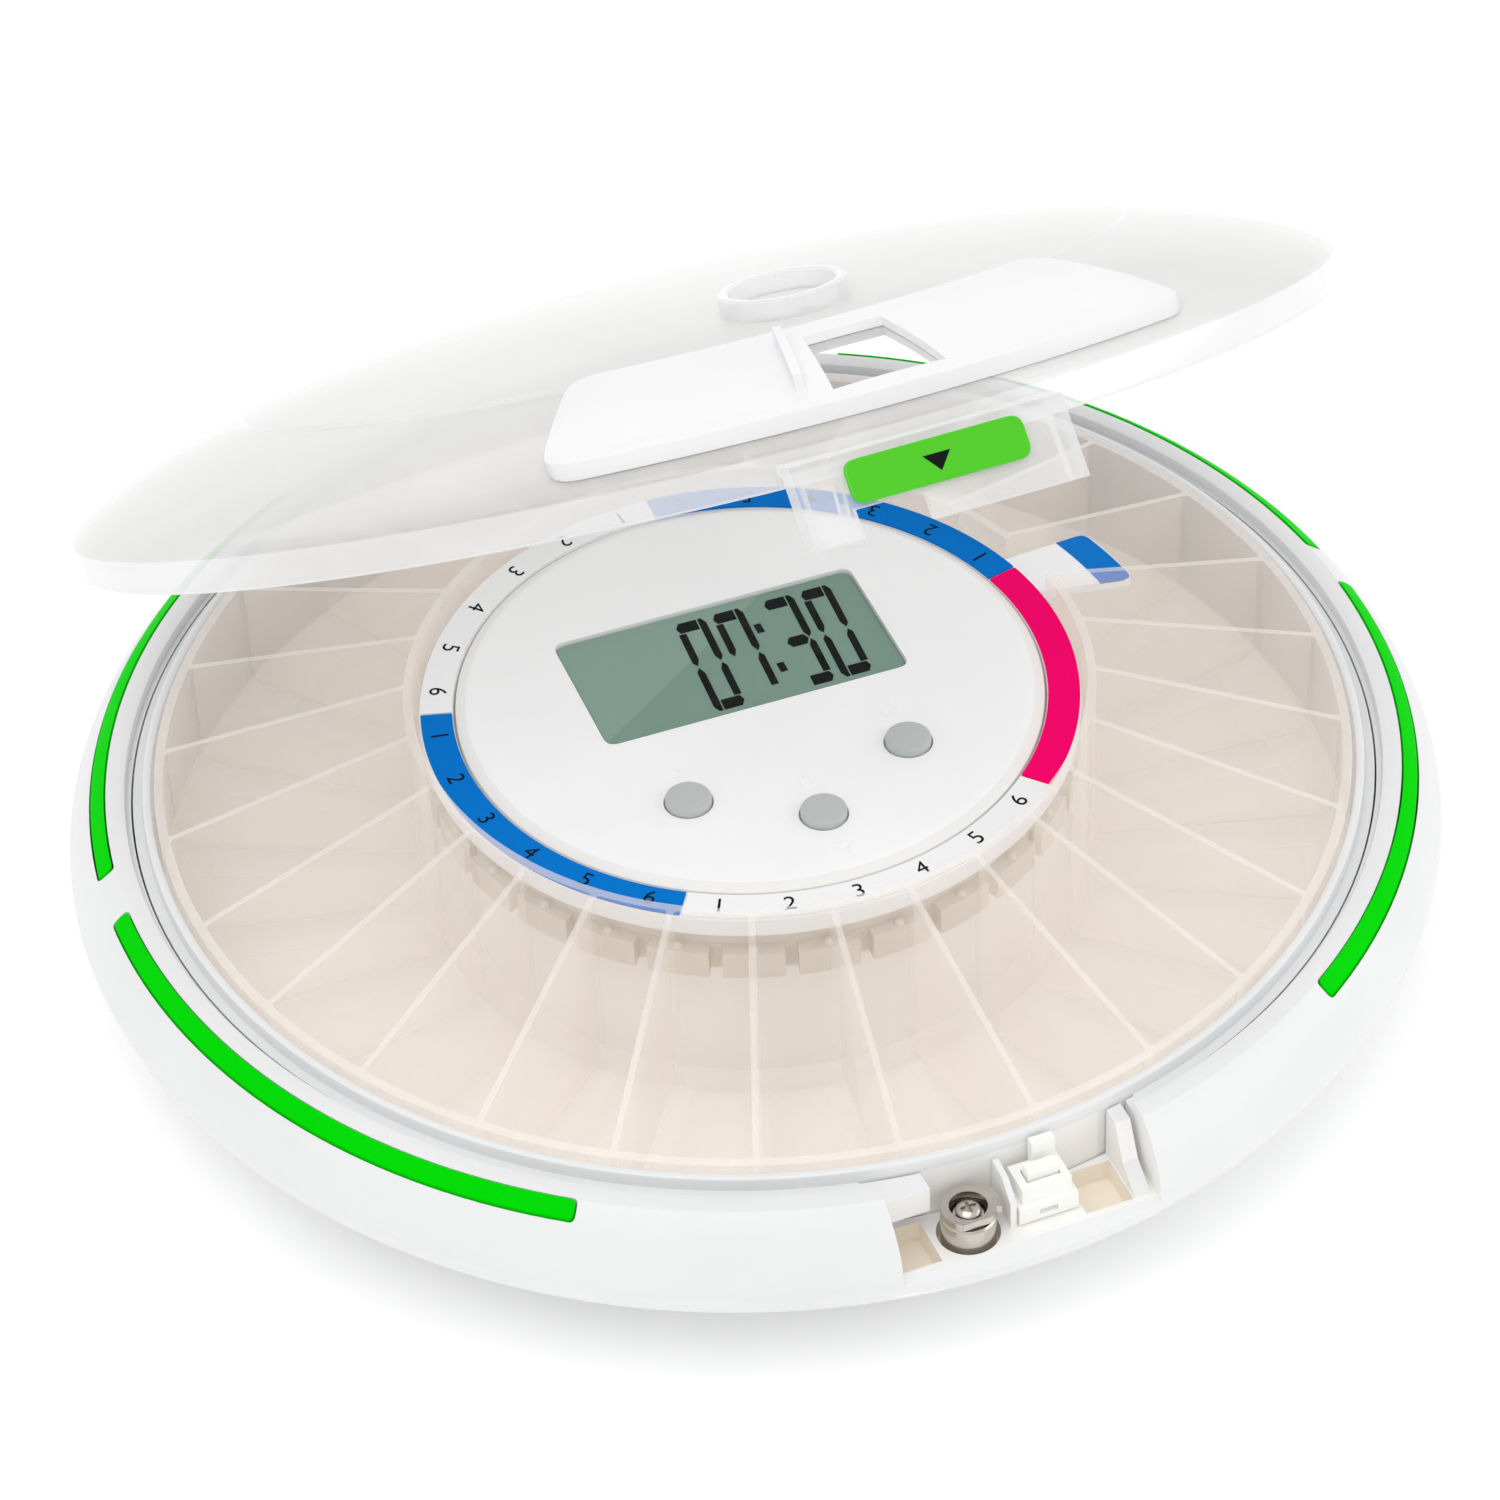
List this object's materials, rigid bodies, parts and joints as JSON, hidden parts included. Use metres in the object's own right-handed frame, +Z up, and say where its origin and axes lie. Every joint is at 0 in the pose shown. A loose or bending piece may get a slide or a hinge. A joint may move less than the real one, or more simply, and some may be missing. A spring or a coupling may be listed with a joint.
{
  "type": "electronic pill box",
  "caption": "Round electronic pill box with a turning ring of pockets under a hinged clear lid, a round console with a display and buttons, and a lock bay at the front.",
  "frame": {"origin": "middle of the footprint, at the bottom of the rubber feet", "axes": "+Z up; -Y to the front, where the lock bay is; the lid hinges at +Y; +X to the right seen from the front"},
  "size_m": [0.2226, 0.2222, 0.1503],
  "materials": {
    "body_white": "satin white moulding",
    "console": "soft matt white",
    "label_white": "printed sector",
    "label_pink": "printed sector",
    "label_blue": "printed sector",
    "strip_green": "lit light guide",
    "label_green": "domed label",
    "grey": "fine matt",
    "board": "circuit board",
    "dark": "matt",
    "rubber": "matt",
    "cell": "printed sleeve over the cell",
    "screen": "liquid crystal display",
    "nylon": "natural nylon",
    "nickel": "nickel plated",
    "steel": "plain",
    "tray_clear": "clear with an ivory tint",
    "lid_clear": "clear",
    "lens": "clear"
  },
  "bodies": {
    "base": {"outer_shell": "body_white", "base_cover": "body_white", "tray_well": "body_white", "rubber_foot_0": "rubber", "rubber_foot_1": "rubber", "rubber_foot_2": "rubber", "rubber_foot_3": "rubber", "housing_screw_0": "steel", "housing_screw_1": "steel", "housing_screw_2": "steel", "housing_screw_3": "steel", "battery_door": "body_white", "door_screw": "steel", "battery_0": "cell", "battery_1": "cell", "battery_2": "cell", "battery_3": "cell", "battery_contact_0": "steel", "battery_contact_1": "steel", "battery_contact_2": "steel", "battery_contact_3": "steel", "drive_motor": "steel", "light_board": "board", "light_guide_front_right": "strip_green", "light_guide_front_left": "strip_green", "light_guide_back_right": "strip_green", "light_guide_back_left": "strip_green", "hinge_pin_left": "steel", "hinge_pin_right": "steel", "lock_barrel": "nickel", "latch_body": "nylon", "console_housing": "console", "display_lens": "lens", "display_module": "screen", "main_board": "board", "buzzer": "dark"},
    "carousel": {"drive_ring": "nylon", "pill_tray": "tray_clear", "dosage_ring": "body_white", "dose_label_pink": "label_pink", "dose_label_blue_0": "label_blue", "dose_label_blue_1": "label_blue", "dose_label_white_0": "label_white", "dose_label_white_1": "label_white"},
    "pinion": {"motor_pinion": "nylon"},
    "lid": {"lid_shell": "lid_clear", "lid_panel": "body_white", "press_label": "label_green"},
    "left_button": {"button_left": "grey"},
    "middle_button": {"button_middle": "grey"},
    "right_button": {"button_right": "grey"},
    "lock": {"lock_plug": "nickel", "lock_cam": "nickel", "cam_screw": "nickel"},
    "plunger": {"latch_plunger": "nylon"}
  },
  "joints": [
    {"name": "lid_hinge", "type": "hinge", "parent": "base", "child": "lid", "pos_m": [0, 0.1024, 0.03805], "axis": [-1, 0, 0], "range_deg": [-32.2, 60]},
    {"name": "carousel_spin", "type": "hinge", "parent": "base", "child": "carousel", "pos_m": [0, 0, 0.034], "axis": [0, 0, 1], "continuous": true},
    {"name": "pinion_spin", "type": "hinge", "parent": "base", "child": "pinion", "pos_m": [0.0195, -0.03377, 0.034], "axis": [0, 0, 1], "continuous": true},
    {"name": "left_button_press", "type": "slide", "parent": "base", "child": "left_button", "axis": [0, 0, -1], "range_m": [0, 0.0008], "stiffness_N_per_m": 300},
    {"name": "middle_button_press", "type": "slide", "parent": "base", "child": "middle_button", "axis": [0, 0, -1], "range_m": [0, 0.0008], "stiffness_N_per_m": 300},
    {"name": "right_button_press", "type": "slide", "parent": "base", "child": "right_button", "axis": [0, 0, -1], "range_m": [0, 0.0008], "stiffness_N_per_m": 300},
    {"name": "lock_turn", "type": "hinge", "parent": "base", "child": "lock", "pos_m": [-0.008, -0.1036, 0.0274], "axis": [0, 0, 1], "range_deg": [0, 180]},
    {"name": "plunger_slide", "type": "slide", "parent": "base", "child": "plunger", "axis": [0, 0, -1], "range_m": [0, 0.002], "stiffness_N_per_m": 150}
  ],
  "couplings": [
    {"joint": "pinion_spin", "follows": "carousel_spin", "ratio": 7}
  ]
}
